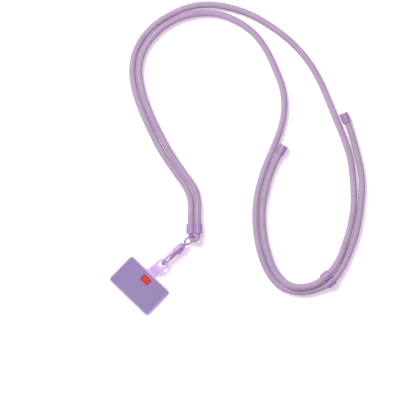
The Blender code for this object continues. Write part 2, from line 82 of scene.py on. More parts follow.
INNER_ROUTE = [
    (3.75, 20.0, 4.8), (3.6, 36.0, 3.8), (0.2, 49.0, 3.5), (-13.3, 68.6, 3.5), (-27.6, 90.2, 3.5),
    (-39.2, 111.7, 3.5), (-49.2, 133.2, 3.5), (-56.3, 154.9, 3.5), (-59.5, 176.6, 3.5),
    (-54.2, 198.0, 3.5), (-37.3, 219.4, 3.5), (-15.9, 232.2, 3.5), (6.3, 237.4, 3.5),
    (27.8, 236.2, 3.5), (49.6, 227.0, 3.5), (65.7, 214.4, 3.5), (77.4, 198.2, 3.5),
    (87.6, 176.6, 3.5), (95.3, 155.0, 3.5), (96.9, 133.4, 3.5), (92.6, 111.8, 3.5),
    (84.0, 90.2, 3.5), (75.2, 68.7, 3.5), (68.9, 47.1, 3.5), (66.0, 25.4, 3.5),
    (66.6, 3.6, 3.5), (70.4, -18.0, 3.5), (78.6, -39.6, 3.5), (92.7, -56.8, 3.5),
    (114.3, -63.2, 3.6), (133.0, -59.6, 4.2), SLIDER_ON_INNER, (157.8, -39.4, 4.0),
    (168.0, -17.8, 3.5), (175.1, 3.8, 3.5), (180.7, 47.0, 3.5),
    (179.2, 68.6, 3.5), (166.0, 117.4, 4.5), (161.2, 127.8, 4.9),
]

# The strands, with the route of each and the side of the collar that it leaves from
STRANDS = (("neck_cord_outer", OUTER_ROUTE, -1), ("neck_cord_inner", INNER_ROUTE, 1))

# The attribute that says how a knitted surface lies: the cosine and sine of the angle round, and the run
LIE = "lie"

# How finely pieces are meshed: turned pieces, a barrel's edge, a rounded corner and side, the tab, the
# fold's legs and bend, the curve between two route points, and the stretches that the slider is set by
TURNS = 72
EDGE_STEPS = 6
CORNER_STEPS = 8
SIDE_STEPS = 24
TAB_STEPS = 40
TAB_SIDES = 24
LEG_RINGS = 32
BEND_RINGS = 48
CURVE_STEPS = 16
STRETCH_PARTS = 20

# The angles from which an edge is shaded sharp, on turned pieces and on the patch
SHARP = math.radians(50.0)
SHEET_SHARP = math.radians(40.0)

# Evening and rounding of moulded pieces: the mesh cell in metres, and the rounds of smoothing
MOULD_CELL = 0.00016
MOULD_ROUNDS = 4
TAB_CELL = 0.00015
TAB_ROUNDS = 5

# Cast pieces: node, body, mesh cell in metres, and rounds of smoothing
CASTINGS = (
    ("snap_hook", "hook", 0.00013, 8),
    ("hook_lever", "lever", 0.0001, 8),
    ("lever_pin", "hook", 0.00007, 4),
    ("swivel_eye", "strap", 0.00011, 8),
)
MERGE = 1e-6

# Radii of moulded edges
COLLAR_EDGE = 0.0004
SLIDER_EDGE = 0.0006
CAP_EDGE = 0.0003
EYELET_EDGE = 0.0005
SHEET_EDGE = 0.0003
LABEL_EDGE = 0.0002
LEAST_CORNER = 0.0002

# Rings across the patch's top, and the width over which a finish turns pale at its rim and on the label
SHEET_INSETS = (0.005, 0.009, 0.013, 0.0165)
LABEL_INSETS = (0.0005, 0.0009, 0.0013, 0.0018, 0.0032)
RIM_FADE = 0.0004
RIM_PALE = 0.55
LABEL_FADE = 0.0016

# How fine each pattern is, in repeats a metre: 2500 is one every 0.4 mm
FIBRE_SCALE = 2600.0
SHADE_SCALE = 55.0
PEEL_SCALE = 1900.0
RUB_SCALE = 420.0
SPARK_SCALE = 3200.0
FLOW_SCALE = 160.0
GRAIN_SCALE = 1500.0
CLOUD_SCALE = 90.0
SILICONE_SCALE = 2200.0
MOTTLE_SCALE = 12.0

# Lamps: name, place from the view's middle, width in metres, watts, and the colour that tints it
LAMPS = (
    ("softbox", (0.0, 0.0, 1.9), 0.5, 16.0, "sky"),
    ("window", (-1.1, 1.25, 1.9), 1.0, 43.0, "floor"),
)
SKY_STRENGTH = 0.3
FLOOR_HALF = 2.0
FLOOR_CELLS = 8

# Clearances that the fittings keep
GAP = 0.0003
CORD_FIT = 0.0004
SLIDER_FIT = 0.0007

# How the patch lies, seen from above
LAY = math.radians(46.0)


def named(node):
    """A CAD node's object."""
    return frame["nodes"][node]


def joint(name):
    """A joint's place and axis at rest."""
    found = next(j for j in frame["joints"] if j["name"] == name)
    return Vector(found["pos_m"]), Vector(found["axis"]).normalized()


def length(name, description, default):
    """A property that holds a length in metres."""
    return bpy.props.FloatProperty(name=name, description=description, default=default, unit="LENGTH")


def hexed(name, description, default):
    """A property that holds an sRGB colour as a hex value."""
    return bpy.props.StringProperty(name=name, description=description, default=default)


class StrapSizes(bpy.types.PropertyGroup):
    """Sizes of the strap's pieces"""

    cord_radius: length("Cord radius", "Half the cord's thickness", 0.0034)
    strand_half: length("Strand offset", "Half the distance between the strands in the collar", 0.00375)
    fold_thin: length("Fold thickness", "Half the squeezed cord's thickness in the fold", 0.0021)
    fold_tall: length("Fold height", "Half the squeezed cord's height in the fold", 0.0028)
    fold_half: length("Fold radius", "Radius of the fold round the eye", 0.0044)
    fold_run: length("Fold run", "Straight run before the fold bends", 0.0025)
    fold_rise: length("Fold rise", "How far the fold lifts to the eye", 0.0036)
    ring_step: length("Ring step", "Distance between the rings of a strand's mesh", 0.0005)
    wales: bpy.props.IntProperty(
        name="Wales", description="Columns of stitches round the cord", default=14, min=6)
    wale_points: bpy.props.IntProperty(
        name="Points a wale", description="Mesh points across one column of stitches", default=3, min=2)
    stitch: length("Stitch", "Length of one stitch along the cord", 0.0015)
    relief: length("Relief", "How far a stitch stands up from the groove beside it", 0.00016)
    collar_long: length("Collar length", "Length of the collar along the cord", 0.0103)
    collar_wall: length("Collar wall", "Thickness of the collar's wall", 0.0008)
    slider_long: length("Slider length", "Length of the slider along the cord", 0.0098)
    slider_wall: length("Slider wall", "Thickness of the slider's wall", 0.0008)
    cap_long: length("Cap length", "Length of an end cap", 0.0108)
    cap_wall: length("Cap wall", "Thickness of an end cap's wall", 0.0006)
    cap_floor: length("Cap floor", "Thickness of an end cap's closed end", 0.0016)
    flare: length("Flare", "How much wider the collar's mouth and the caps' ends are", 0.0002)
    patch_long: length("Patch length", "The patch across the strap's axis", 0.058)
    patch_deep: length("Patch depth", "The patch along the strap's axis", 0.036)
    patch_thick: length("Patch thickness", "Thickness of the patch at its rim", 0.001)
    patch_corner: length("Patch corner", "Radius of the patch's corners", 0.004)
    rim_wide: length("Rim width", "Width of the patch's raised rim", 0.0016)
    rim_high: length("Rim height", "How far the rim stands above the patch", 0.0002)
    tab_wide: length("Tab width", "Width of the tab", 0.0115)
    tab_thick: length("Tab thickness", "Thickness of the tab", 0.0009)
    tab_root: length("Tab root radius", "Radius between the tab and the patch", 0.0025)
    tab_seat: length("Tab seat", "How far the tab runs into the patch", 0.0012)
    hole_out: length("Hole distance", "From the patch's edge to the hole's middle", 0.016)
    hole_radius: length("Hole radius", "Radius of the tab's hole", 0.0034)
    eyelet_thick: length("Eyelet thickness", "Thickness of the tab round its hole", 0.0013)
    eyelet_lip: length("Eyelet lip", "How far the eyelet stands out past the tab", 0.0003)
    label_long: length("Label length", "The label across the strap's axis", 0.0107)
    label_deep: length("Label depth", "The label along the strap's axis", 0.0072)
    label_thick: length("Label thickness", "Thickness of the label", 0.0005)
    label_corner: length("Label corner", "Radius of the label's corners", 0.0008)
    label_out: length("Label place", "From the patch's middle to the label's", 0.0095)
    label_gap: length("Label gap", "Glue line under the label", 0.0001)


class StrapColours(bpy.types.PropertyGroup):
    """sRGB colours of the strap's finishes, as hex values"""

    # The yarn's colour on the stitch tops, and a darker copy of it that is painted shade in the grooves
    # between the stitches
    cord_light: hexed("Cord, light", "Top of the stitches", "#CDB9D1")
    cord_groove_shade: hexed("Cord, dark", "Grooves between the stitches", "#8D7695")
    metal: hexed("Metal", "Powder coat of the hook and the eye", "#B292C8")
    metal_edge: hexed("Metal edge", "Rubbed edges of the powder coat", "#C9B0D8")
    plastic: hexed("Plastic", "Collar, slider and caps", "#A187B1")
    patch: hexed("Patch", "The patch and its tab", "#8B7CA7")
    # The paler colour that the patch's rim and its whole tab are given, by distance in from the patch's
    # edge
    patch_rim: hexed("Patch rim", "Thin edges of the patch", "#D2BBE6")
    label_edge: hexed("Label edge", "The label's darker border", "#8E0A18")
    label: hexed("Label", "The plain label", "#D41826")
    floor: hexed("Floor", "The floor under the strap", "#FFFFFF")
    sky: hexed(
        "Sky", "Light from all round and above, a little lilac as it tints the shadows", "#FFF0FF")


def sizes():
    """The sizes in use."""
    return bpy.context.scene.strap_sizes


def linear(colour):
    """An sRGB hex value as linear red, green, blue and alpha."""
    parts = [int(colour[i:i + 2], 16) / 255 for i in (1, 3, 5)]
    return (*[c / 12.92 if c <= 0.04045 else ((c + 0.055) / 1.055) ** 2.4 for c in parts], 1.0)


def colour(name):
    """A finish's own colour, linear."""
    return linear(getattr(bpy.context.scene.strap_colours, name))


def add(tree, kind, inputs=None, **settings):
    """Adds a node with its settings, and links or sets its inputs."""
    made = tree.nodes.new(kind)
    for key, value in settings.items():
        setattr(made, key, value)
    for key, value in (inputs or {}).items():
        if isinstance(value, bpy.types.NodeSocket):
            tree.links.new(value, made.inputs[key])
        else:
            made.inputs[key].default_value = value
    return made


def finish(name):
    """A new material, its node tree and its Principled shader."""
    made = bpy.data.materials.new(name)
    made.use_nodes = True
    tree = made.node_tree
    return made, tree, tree.nodes["Principled BSDF"]


def knitted_polyester():
    """Polyester yarn knitted into a round cord: matt, soft at the edges, columns of slanted stitches,
    with shade painted into the grooves between them.
    """
    size = sizes()
    made, tree, shader = finish("knitted_polyester")
    lie = add(tree, "ShaderNodeAttribute", attribute_name=LIE)
    part = add(tree, "ShaderNodeSeparateXYZ", {0: lie.outputs["Vector"]})
    angle = add(tree, "ShaderNodeMath", {0: part.outputs[1], 1: part.outputs[0]}, operation="ARCTAN2")
    column = add(tree, "ShaderNodeMath",
                 {0: angle.outputs[0], 1: size.wales / math.tau}, operation="MULTIPLY")
    leg = add(tree, "ShaderNodeMath", {0: column.outputs[0], 1: 0.5}, operation="PINGPONG")
    row = add(tree, "ShaderNodeMath", {0: part.outputs[2], 1: 1 / size.stitch, 2: leg.outputs[0]},
              operation="MULTIPLY_ADD")
    turn = add(tree, "ShaderNodeMath", {0: row.outputs[0], 1: math.tau}, operation="MULTIPLY")
    wave = add(tree, "ShaderNodeMath", {0: turn.outputs[0]}, operation="COSINE")
    yarn = add(tree, "ShaderNodeMapRange",
               {"Value": wave.outputs[0], "From Min": -1.0, "From Max": 0.6})
    groove = add(tree, "ShaderNodeMapRange", {"Value": leg.outputs[0], "From Max": 0.22})
    height = add(tree, "ShaderNodeMath",
                 {0: yarn.outputs[0], 1: groove.outputs[0]}, operation="MULTIPLY")
    where = add(tree, "ShaderNodeTexCoord")
    fibre = add(tree, "ShaderNodeTexNoise",
                {"Vector": where.outputs["Object"], "Scale": FIBRE_SCALE, "Detail": 3.0})
    shade = add(tree, "ShaderNodeTexNoise",
                {"Vector": where.outputs["Object"], "Scale": SHADE_SCALE, "Detail": 4.0})
    depth = add(tree, "ShaderNodeMath", {0: fibre.outputs[0], 1: 0.35, 2: height.outputs[0]},
                operation="MULTIPLY_ADD")
    # Painted shade: the colour darkens from the stitch tops into the grooves by the stitches' height;
    # the fibre noise in it is the yarn's own uneven tone
    blend = add(tree, "ShaderNodeMapRange", {"Value": depth.outputs[0], "From Max": 1.25})
    tone = add(tree, "ShaderNodeMix", {"Factor": blend.outputs[0], 6: colour("cord_groove_shade"),
                                       7: colour("cord_light")}, data_type="RGBA")
    cloud = add(tree, "ShaderNodeMapRange",
                {"Value": shade.outputs[0], "From Min": 0.3, "From Max": 0.7,
                                             "To Min": 0.93, "To Max": 1.05})
    final = add(tree, "ShaderNodeVectorMath",
                {0: tone.outputs[2], 1: cloud.outputs[0]}, operation="MULTIPLY")
    bump = add(tree, "ShaderNodeBump",
               {"Height": depth.outputs[0], "Strength": 0.6, "Distance": 0.0002})
    tree.links.new(final.outputs[0], shader.inputs["Base Color"])
    tree.links.new(bump.outputs[0], shader.inputs["Normal"])
    shader.inputs["Roughness"].default_value = 0.86
    shader.inputs["Sheen Weight"].default_value = 0.25
    shader.inputs["Sheen Roughness"].default_value = 0.5
    return made


def powder_coated_zinc():
    """Zinc alloy, die-cast and powder-coated: satin, with a fine orange peel and paler rubbed edges."""
    made, tree, shader = finish("powder_coated_zinc")
    where = add(tree, "ShaderNodeTexCoord")
    peel = add(tree, "ShaderNodeTexNoise",
               {"Vector": where.outputs["Object"], "Scale": PEEL_SCALE, "Detail": 2.0})
    rub = add(tree, "ShaderNodeTexNoise",
              {"Vector": where.outputs["Object"], "Scale": RUB_SCALE, "Detail": 3.0})
    shape = add(tree, "ShaderNodeNewGeometry")
    edge = add(tree, "ShaderNodeMapRange", {"Value": shape.outputs["Pointiness"], "From Min": 0.52,
                                            "From Max": 0.60})
    worn = add(tree, "ShaderNodeMath", {0: edge.outputs[0], 1: rub.outputs[0]}, operation="MULTIPLY")
    tone = add(tree, "ShaderNodeMix", {"Factor": worn.outputs[0], 6: colour("metal"),
                                       7: colour("metal_edge")}, data_type="RGBA")
    gloss = add(tree, "ShaderNodeMapRange", {"Value": rub.outputs[0], "To Min": 0.30, "To Max": 0.46})
    bump = add(tree, "ShaderNodeBump",
               {"Height": peel.outputs[0], "Strength": 0.25, "Distance": 0.00005})
    tree.links.new(tone.outputs[2], shader.inputs["Base Color"])
    tree.links.new(gloss.outputs[0], shader.inputs["Roughness"])
    tree.links.new(bump.outputs[0], shader.inputs["Normal"])
    shader.inputs["Coat Weight"].default_value = 0.15
    return made


def moulded_abs():
    """ABS, injection-moulded in a satin tool: an even colour with a very fine spark texture."""
    made, tree, shader = finish("moulded_abs")
    where = add(tree, "ShaderNodeTexCoord")
    spark = add(tree, "ShaderNodeTexNoise",
                {"Vector": where.outputs["Object"], "Scale": SPARK_SCALE, "Detail": 2.0})
    flow = add(tree, "ShaderNodeTexNoise",
               {"Vector": where.outputs["Object"], "Scale": FLOW_SCALE, "Detail": 2.0})
    gloss = add(tree, "ShaderNodeMapRange", {"Value": flow.outputs[0], "To Min": 0.38, "To Max": 0.54})
    tint = add(tree, "ShaderNodeMapRange", {"Value": flow.outputs[0], "To Min": 0.95, "To Max": 1.05})
    tone = add(tree, "ShaderNodeVectorMath", {0: colour("plastic")[:3], 1: tint.outputs[0]},
               operation="MULTIPLY")
    bump = add(tree, "ShaderNodeBump",
               {"Height": spark.outputs[0], "Strength": 0.3, "Distance": 0.00004})
    tree.links.new(tone.outputs[0], shader.inputs["Base Color"])
    tree.links.new(gloss.outputs[0], shader.inputs["Roughness"])
    tree.links.new(bump.outputs[0], shader.inputs["Normal"])
    return made


def moulded_tpu():
    """TPU, injection-moulded as a thin flexible sheet: milky, paler on its rim and all over its tab."""
    made, tree, shader = finish("moulded_tpu")
    where = add(tree, "ShaderNodeTexCoord")
    grain = add(tree, "ShaderNodeTexNoise",
                {"Vector": where.outputs["Object"], "Scale": GRAIN_SCALE, "Detail": 3.0})
    cloud = add(tree, "ShaderNodeTexNoise",
                {"Vector": where.outputs["Object"], "Scale": CLOUD_SCALE, "Detail": 3.0})
    paler = add(tree, "ShaderNodeAttribute", attribute_name="paler")
    tone = add(tree, "ShaderNodeMix", {"Factor": paler.outputs["Fac"], 6: colour("patch"),
                                       7: colour("patch_rim")}, data_type="RGBA")
    tint = add(tree, "ShaderNodeMapRange", {"Value": cloud.outputs[0], "To Min": 0.96, "To Max": 1.04})
    final = add(tree, "ShaderNodeVectorMath",
                {0: tone.outputs[2], 1: tint.outputs[0]}, operation="MULTIPLY")
    gloss = add(tree, "ShaderNodeMapRange", {"Value": cloud.outputs[0], "To Min": 0.52, "To Max": 0.68})
    bump = add(tree, "ShaderNodeBump",
               {"Height": grain.outputs[0], "Strength": 0.2, "Distance": 0.00005})
    tree.links.new(final.outputs[0], shader.inputs["Base Color"])
    tree.links.new(gloss.outputs[0], shader.inputs["Roughness"])
    tree.links.new(bump.outputs[0], shader.inputs["Normal"])
    shader.inputs["Subsurface Weight"].default_value = 0.25
    shader.inputs["Subsurface Radius"].default_value = (0.002, 0.0015, 0.002)
    shader.inputs["Subsurface Scale"].default_value = 1.0
    return made


def red_silicone():
    """Silicone, moulded flat: an even red with a soft shine."""
    made, tree, shader = finish("red_silicone")
    where = add(tree, "ShaderNodeTexCoord")
    grain = add(tree, "ShaderNodeTexNoise",
                {"Vector": where.outputs["Object"], "Scale": SILICONE_SCALE, "Detail": 2.0})
    tint = add(tree, "ShaderNodeMapRange", {"Value": grain.outputs[0], "To Min": 0.9, "To Max": 1.06})
    paler = add(tree, "ShaderNodeAttribute", attribute_name="paler")
    blend = add(tree, "ShaderNodeMix", {"Factor": paler.outputs["Fac"], 6: colour("label_edge"),
                                        7: colour("label")}, data_type="RGBA")
    tone = add(tree, "ShaderNodeVectorMath",
               {0: blend.outputs[2], 1: tint.outputs[0]}, operation="MULTIPLY")
    bump = add(tree, "ShaderNodeBump",
               {"Height": grain.outputs[0], "Strength": 0.25, "Distance": 0.00005})
    tree.links.new(tone.outputs[0], shader.inputs["Base Color"])
    tree.links.new(bump.outputs[0], shader.inputs["Normal"])
    shader.inputs["Roughness"].default_value = 0.62
    return made


def painted_floor():
    """Board, painted matt white: it takes the soft shadows and shows no grain from this height."""
    made, tree, shader = finish("painted_floor")
    where = add(tree, "ShaderNodeTexCoord")
    mottle = add(tree, "ShaderNodeTexNoise",
                 {"Vector": where.outputs["Object"], "Scale": MOTTLE_SCALE, "Detail": 3.0})
    tint = add(tree, "ShaderNodeMapRange", {"Value": mottle.outputs[0], "To Min": 0.99, "To Max": 1.0})
    tone = add(tree, "ShaderNodeVectorMath",
               {0: colour("floor")[:3], 1: tint.outputs[0]}, operation="MULTIPLY")
    tree.links.new(tone.outputs[0], shader.inputs["Base Color"])
    shader.inputs["Roughness"].default_value = 0.9
    return made


FINISHES = {
    "knitted_cord": knitted_polyester,
    "painted_metal": powder_coated_zinc,
    "moulded_plastic": moulded_abs,
    "patch_sheet": moulded_tpu,
    "label_red": red_silicone,
}


def material(slot):
    """The material of a record's slot, made once."""
    key = FINISHES[slot].__name__
    return bpy.data.materials.get(key) or FINISHES[slot]()


def link(name, data):
    """A new object in the scene."""
    made = bpy.data.objects.new(name, data)
    bpy.context.scene.collection.objects.link(made)
    return made


def from_bmesh(name, bm):
    """A new object of a finished bmesh, its faces pointing out."""
    bmesh.ops.recalc_face_normals(bm, faces=bm.faces)
    mesh = bpy.data.meshes.new(name)
    bm.to_mesh(mesh)
    bm.free()
    return link(name, mesh)


def settle(piece):
    """Applies every modifier, and keeps the result as a plain mesh."""
    bpy.context.view_layer.update()
    result = bpy.data.meshes.new_from_object(piece.evaluated_get(bpy.context.evaluated_depsgraph_get()))
    result.name = piece.name
    if piece.type == "MESH":
        piece.modifiers.clear()
        piece.data = result
        return piece
    name = piece.name
    bpy.data.objects.remove(piece)
    return link(name, result)


def dress(piece, body, slot, *nodes):
    """Gives a finished piece its material and its body, and hides the nodes that it stands for."""
    piece.data.materials.clear()
    piece.data.materials.append(material(slot))
    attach(piece, body)
    if nodes:
        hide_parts(*nodes)
    return piece


def combine(piece, other, operation):
    """Joins or cuts one piece with another, which is used up."""
    step = piece.modifiers.new(other.name, "BOOLEAN")
    step.operation = operation
    step.solver = "EXACT"
    step.object = other
    settle(piece)
    bpy.data.objects.remove(other)


def soften(piece, cell, rounds):
    """Remeshes a hard-edged piece evenly and rounds its edges, as casting and moulding do."""
    step = piece.modifiers.new("even", "REMESH")
    step.mode = "VOXEL"
    step.voxel_size = cell
    step.use_smooth_shade = True
    relax = piece.modifiers.new("round", "SMOOTH")
    relax.factor = 0.5
    relax.iterations = rounds
    settle(piece)
    piece.data.shade_smooth()
    return piece


def ease(share):
    """Runs from 0 to 1 with level ends."""
    share = min(max(share, 0.0), 1.0)
    return share * share * (3.0 - 2.0 * share)


def spline_point(a, b, c, d, t):
    """A point between b and c on the smooth curve through a, b, c and d, spaced by their distances."""
    k1 = (b - a).length ** 0.5
    k2 = k1 + (c - b).length ** 0.5
    k3 = k2 + (d - c).length ** 0.5
    k = k1 + (k2 - k1) * t
    ab = a + (b - a) * (k / k1)
    bc = b + (c - b) * ((k - k1) / (k2 - k1))
    cd = c + (d - c) * ((k - k2) / (k3 - k2))
    abc = ab + (bc - ab) * (k / k2)
    bcd = bc + (cd - bc) * ((k - k1) / (k3 - k1))
    return abc + (bcd - abc) * ((k - k1) / (k2 - k1))


def smooth_route(marks, step):
    """Evenly spaced points on the smooth curve through a strand's own points."""
    marks = [2 * marks[0] - marks[1]] + marks + [2 * marks[-1] - marks[-2]]
    fine = []
    for a, b, c, d in zip(marks, marks[1:], marks[2:], marks[3:]):
        fine += [spline_point(a, b, c, d, i / CURVE_STEPS) for i in range(CURVE_STEPS)]
    fine.append(marks[-2])
    run = [0.0]
    for p, q in zip(fine, fine[1:]):
        run.append(run[-1] + (q - p).length)
    count = round(run[-1] / step)
    made = []
    i = 0
    for n in range(count + 1):
        s = run[-1] * n / count
        while i < len(run) - 2 and run[i + 1] < s:
            i += 1
        made.append(fine[i].lerp(fine[i + 1], (s - run[i]) / (run[i + 1] - run[i])))
    return made


def collar_mouth():
    """The middle of the collar's lower mouth, at the floor."""
    low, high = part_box("cord_collar")
    return Vector(((low.x + high.x) / 2, low.y, 0.0))


def strand_marks(points, side):
    """A strand's own points in the frame, from the collar's middle to its cap."""
    size = sizes()
    low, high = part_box("cord_collar")
    start = Vector((side * size.strand_half, size.collar_long / 2, (low.z + high.z) / 2))
    mouth = collar_mouth()
    return [mouth + start] + [mouth + Vector(p) / 1000 for p in points]


def new_tree(name, inputs):
    """A Geometry Nodes tree with a geometry in and out and its named inputs."""
    tree = bpy.data.node_groups.new(name, "GeometryNodeTree")
    tree.interface.new_socket("Geometry", in_out="INPUT", socket_type="NodeSocketGeometry")
    for label, kind in inputs:
        tree.interface.new_socket(label, in_out="INPUT", socket_type=kind)
    tree.interface.new_socket("Geometry", in_out="OUTPUT", socket_type="NodeSocketGeometry")
    return tree, add(tree, "NodeGroupInput").outputs


def run_tree(piece, tree, values):
    """Puts a tree on a piece with its named inputs set."""
    step = piece.modifiers.new(tree.name, "NODES")
    step.node_group = tree
    for item in tree.interface.items_tree:
        if item.in_out == "INPUT" and item.name in values:
            step[item.identifier] = values[item.name]


def cord_tree():
    """Turns a route into a round tube that carries how its surface lies."""
    tree, given = new_tree("Cord tube", [
        ("Radius", "NodeSocketFloat"), ("Sides", "NodeSocketInt"), ("Ring step", "NodeSocketFloat")])
    even = add(tree, "GeometryNodeResampleCurve",
               {"Curve": given["Geometry"], "Length": given["Ring step"]},
               mode="LENGTH")
    along = add(tree, "GeometryNodeSplineParameter")
    kept = add(tree, "GeometryNodeCaptureAttribute", {0: even.outputs[0]})
    kept.capture_items.new("FLOAT", "Run")
    tree.links.new(along.outputs["Length"], kept.inputs["Run"])
    ring = add(tree, "GeometryNodeCurvePrimitiveCircle", {"Resolution": given["Sides"],
                                                          "Radius": given["Radius"]})
    around = add(tree, "GeometryNodeSplineParameter")
    share = add(tree, "GeometryNodeCaptureAttribute", {0: ring.outputs[0]})
    share.capture_items.new("FLOAT", "Share")
    tree.links.new(around.outputs["Factor"], share.inputs["Share"])
    tube = add(tree, "GeometryNodeCurveToMesh",
               {"Curve": kept.outputs[0], "Profile Curve": share.outputs[0],
                                                 "Fill Caps": True})
    angle = add(tree, "ShaderNodeMath", {0: share.outputs["Share"], 1: math.tau}, operation="MULTIPLY")
    cosine = add(tree, "ShaderNodeMath", {0: angle.outputs[0]}, operation="COSINE")
    sine = add(tree, "ShaderNodeMath", {0: angle.outputs[0]}, operation="SINE")
    lie = add(tree, "ShaderNodeCombineXYZ", {0: cosine.outputs[0], 1: sine.outputs[0],
                                             2: kept.outputs["Run"]})
    stored = add(tree, "GeometryNodeStoreNamedAttribute", {"Geometry": tube.outputs[0], "Name": LIE,
                                                           "Value": lie.outputs[0]},
                 data_type="FLOAT_VECTOR", domain="POINT")
    add(tree, "NodeGroupOutput", {0: stored.outputs[0]})
    return tree


def knit_tree():
    """Raises columns of slanted stitches on any tube that carries how its surface lies."""
    tree, given = new_tree("Knit", [
        ("Wales", "NodeSocketInt"), ("Stitch", "NodeSocketFloat"), ("Relief", "NodeSocketFloat"),
        ("Material", "NodeSocketMaterial")])
    lie = add(tree, "GeometryNodeInputNamedAttribute", {"Name": LIE}, data_type="FLOAT_VECTOR")
    part = add(tree, "ShaderNodeSeparateXYZ", {0: lie.outputs["Attribute"]})
    angle = add(tree, "ShaderNodeMath", {0: part.outputs[1], 1: part.outputs[0]}, operation="ARCTAN2")
    whole = add(tree, "ShaderNodeMath", {0: angle.outputs[0], 1: math.tau}, operation="DIVIDE")
    column = add(tree, "ShaderNodeMath", {0: whole.outputs[0], 1: given["Wales"]}, operation="MULTIPLY")
    leg = add(tree, "ShaderNodeMath", {0: column.outputs[0], 1: 0.5}, operation="PINGPONG")
    row = add(tree, "ShaderNodeMath", {0: part.outputs[2], 1: given["Stitch"]}, operation="DIVIDE")
    slant = add(tree, "ShaderNodeMath", {0: row.outputs[0], 1: leg.outputs[0]}, operation="ADD")
    turn = add(tree, "ShaderNodeMath", {0: slant.outputs[0], 1: math.tau}, operation="MULTIPLY")
    wave = add(tree, "ShaderNodeMath", {0: turn.outputs[0]}, operation="COSINE")
    yarn = add(tree, "ShaderNodeMath", {0: wave.outputs[0], 1: 0.4, 2: 0.6}, operation="MULTIPLY_ADD")
    bulge = add(tree, "ShaderNodeMapRange", {"Value": leg.outputs[0], "From Max": 0.3})
    lift = add(tree, "ShaderNodeMath", {0: yarn.outputs[0], 1: bulge.outputs[0]}, operation="MULTIPLY")
    centred = add(tree, "ShaderNodeMath", {0: lift.outputs[0], 1: 0.9}, operation="SUBTRACT")
    height = add(tree, "ShaderNodeMath",
                 {0: centred.outputs[0], 1: given["Relief"]}, operation="MULTIPLY")
    normal = add(tree, "GeometryNodeInputNormal")
    offset = add(tree, "ShaderNodeVectorMath", {0: normal.outputs[0], "Scale": height.outputs[0]},
                 operation="SCALE")
    moved = add(tree, "GeometryNodeSetPosition",
                {"Geometry": given["Geometry"], "Offset": offset.outputs[0]})
    smooth = add(tree, "GeometryNodeSetShadeSmooth", {0: moved.outputs[0]})
    real = add(tree, "GeometryNodeRealizeInstances", {0: smooth.outputs[0]})
    dressed = add(tree, "GeometryNodeSetMaterial", {"Geometry": real.outputs[0],
                                                    "Material": given["Material"]})
    add(tree, "NodeGroupOutput", {0: dressed.outputs[0]})
    return tree


def knit(piece):
    """Knits a tube's surface."""
    size = sizes()
    tree = bpy.data.node_groups.get("Knit") or knit_tree()
    run_tree(piece, tree, {"Wales": size.wales, "Stitch": size.stitch, "Relief": size.relief,
                           "Material": material("knitted_cord")})


def make_strand(name, points, side):
    """One knitted strand from the collar to its cap."""
    size = sizes()
    route = smooth_route(strand_marks(points, side), 2 * size.cord_radius)
    curve = bpy.data.curves.new(name, "CURVE")
    curve.dimensions = "3D"
    line = curve.splines.new("POLY")
    line.points.add(len(route) - 1)
    for point, spot in zip(line.points, route):
        point.co = (*spot, 1.0)
    strand = link(name, curve)
    tree = bpy.data.node_groups.get("Cord tube") or cord_tree()
    run_tree(strand, tree, {"Radius": size.cord_radius, "Sides": size.wales * size.wale_points,
                            "Ring step": size.ring_step})
    knit(strand)
    return settle(strand)


def fold_section(s):
    """The folded cord's half thickness and half height, s along it from the collar's mouth."""
    size = sizes()
    share = ease(1.0 + s / (size.collar_long / 2))
    thin = size.cord_radius + (size.fold_thin - size.cord_radius) * share
    tall = size.cord_radius + (size.fold_tall - size.cord_radius) * share
    return thin, tall


def make_fold(name):
    """The cord's middle, knitted too: up out of the collar, round the eye and back."""
    size = sizes()
    low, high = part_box("cord_collar")
    seat = collar_mouth() + Vector((0.0, 0.0, (low.z + high.z) / 2))
    start = size.collar_long / 2 - GAP / 2
    path = []
    widen = size.fold_half - size.strand_half
    for i in range(LEG_RINGS):
        s = -start + (start + size.fold_run) * i / LEG_RINGS
        path.append((size.strand_half + widen * ease(s / size.fold_run), s, 0.0))
    for i in range(BEND_RINGS + 1):
        a = math.pi * i / BEND_RINGS
        path.append((size.fold_half * math.cos(a), size.fold_run + size.fold_half * math.sin(a), a))
    path += [(-x, s, math.pi) for x, s, a in reversed(path[:LEG_RINGS])]
    sides = size.wales * size.wale_points
    rows = []
    lies = []
    run = 0.0
    before = None
    for x, s, a in path:
        thin, tall = fold_section(s)
        middle = Vector((x, -s, size.fold_rise * ease(s / (size.fold_run + size.fold_half))))
        run += (middle - before).length if before else 0.0
        before = middle
        out = Vector((math.cos(a), -math.sin(a), 0.0))
        row = []
        for k in range(sides):
            turn = math.tau * k / sides
            up = Vector((0.0, 0.0, tall * math.sin(turn)))
            row.append(seat + middle + thin * math.cos(turn) * out + up)
            lies.append((math.cos(turn), math.sin(turn), run))
        rows.append(row)
    fold = loft(name, rows)
    lie = fold.data.attributes.new(LIE, "FLOAT_VECTOR", "POINT")
    for value, own in zip(lie.data, lies):
        value.vector = own
    knit(fold)
    return settle(fold)


def declare_cords():
    """Works out each strand's smooth route, and does nothing more with it."""
    thick = 2 * sizes().cord_radius
    for node, points, side in STRANDS:
        route = smooth_route(strand_marks(points, side), thick)


def axis_matrix(at, direction, up=Vector((0.0, 0.0, 1.0))):
    """A place whose X lies along direction and whose Z is as near to up as it can be."""
    x = direction.normalized()
    y = up.cross(x).normalized()
    made = Matrix((x, y, x.cross(y))).transposed().to_4x4()
    made.translation = at
    return made


def loft(name, rows):
    """A closed solid through rings of equal point counts."""
    bm = bmesh.new()
    rings = [[bm.verts.new(point) for point in row] for row in rows]
    count = len(rings[0])
    for low, high in zip(rings, rings[1:]):
        for i in range(count):
            j = (i + 1) % count
            bm.faces.new((low[i], low[j], high[j], high[i]))
    bm.faces.new(rings[0])
    bm.faces.new(rings[-1])
    return from_bmesh(name, bm)


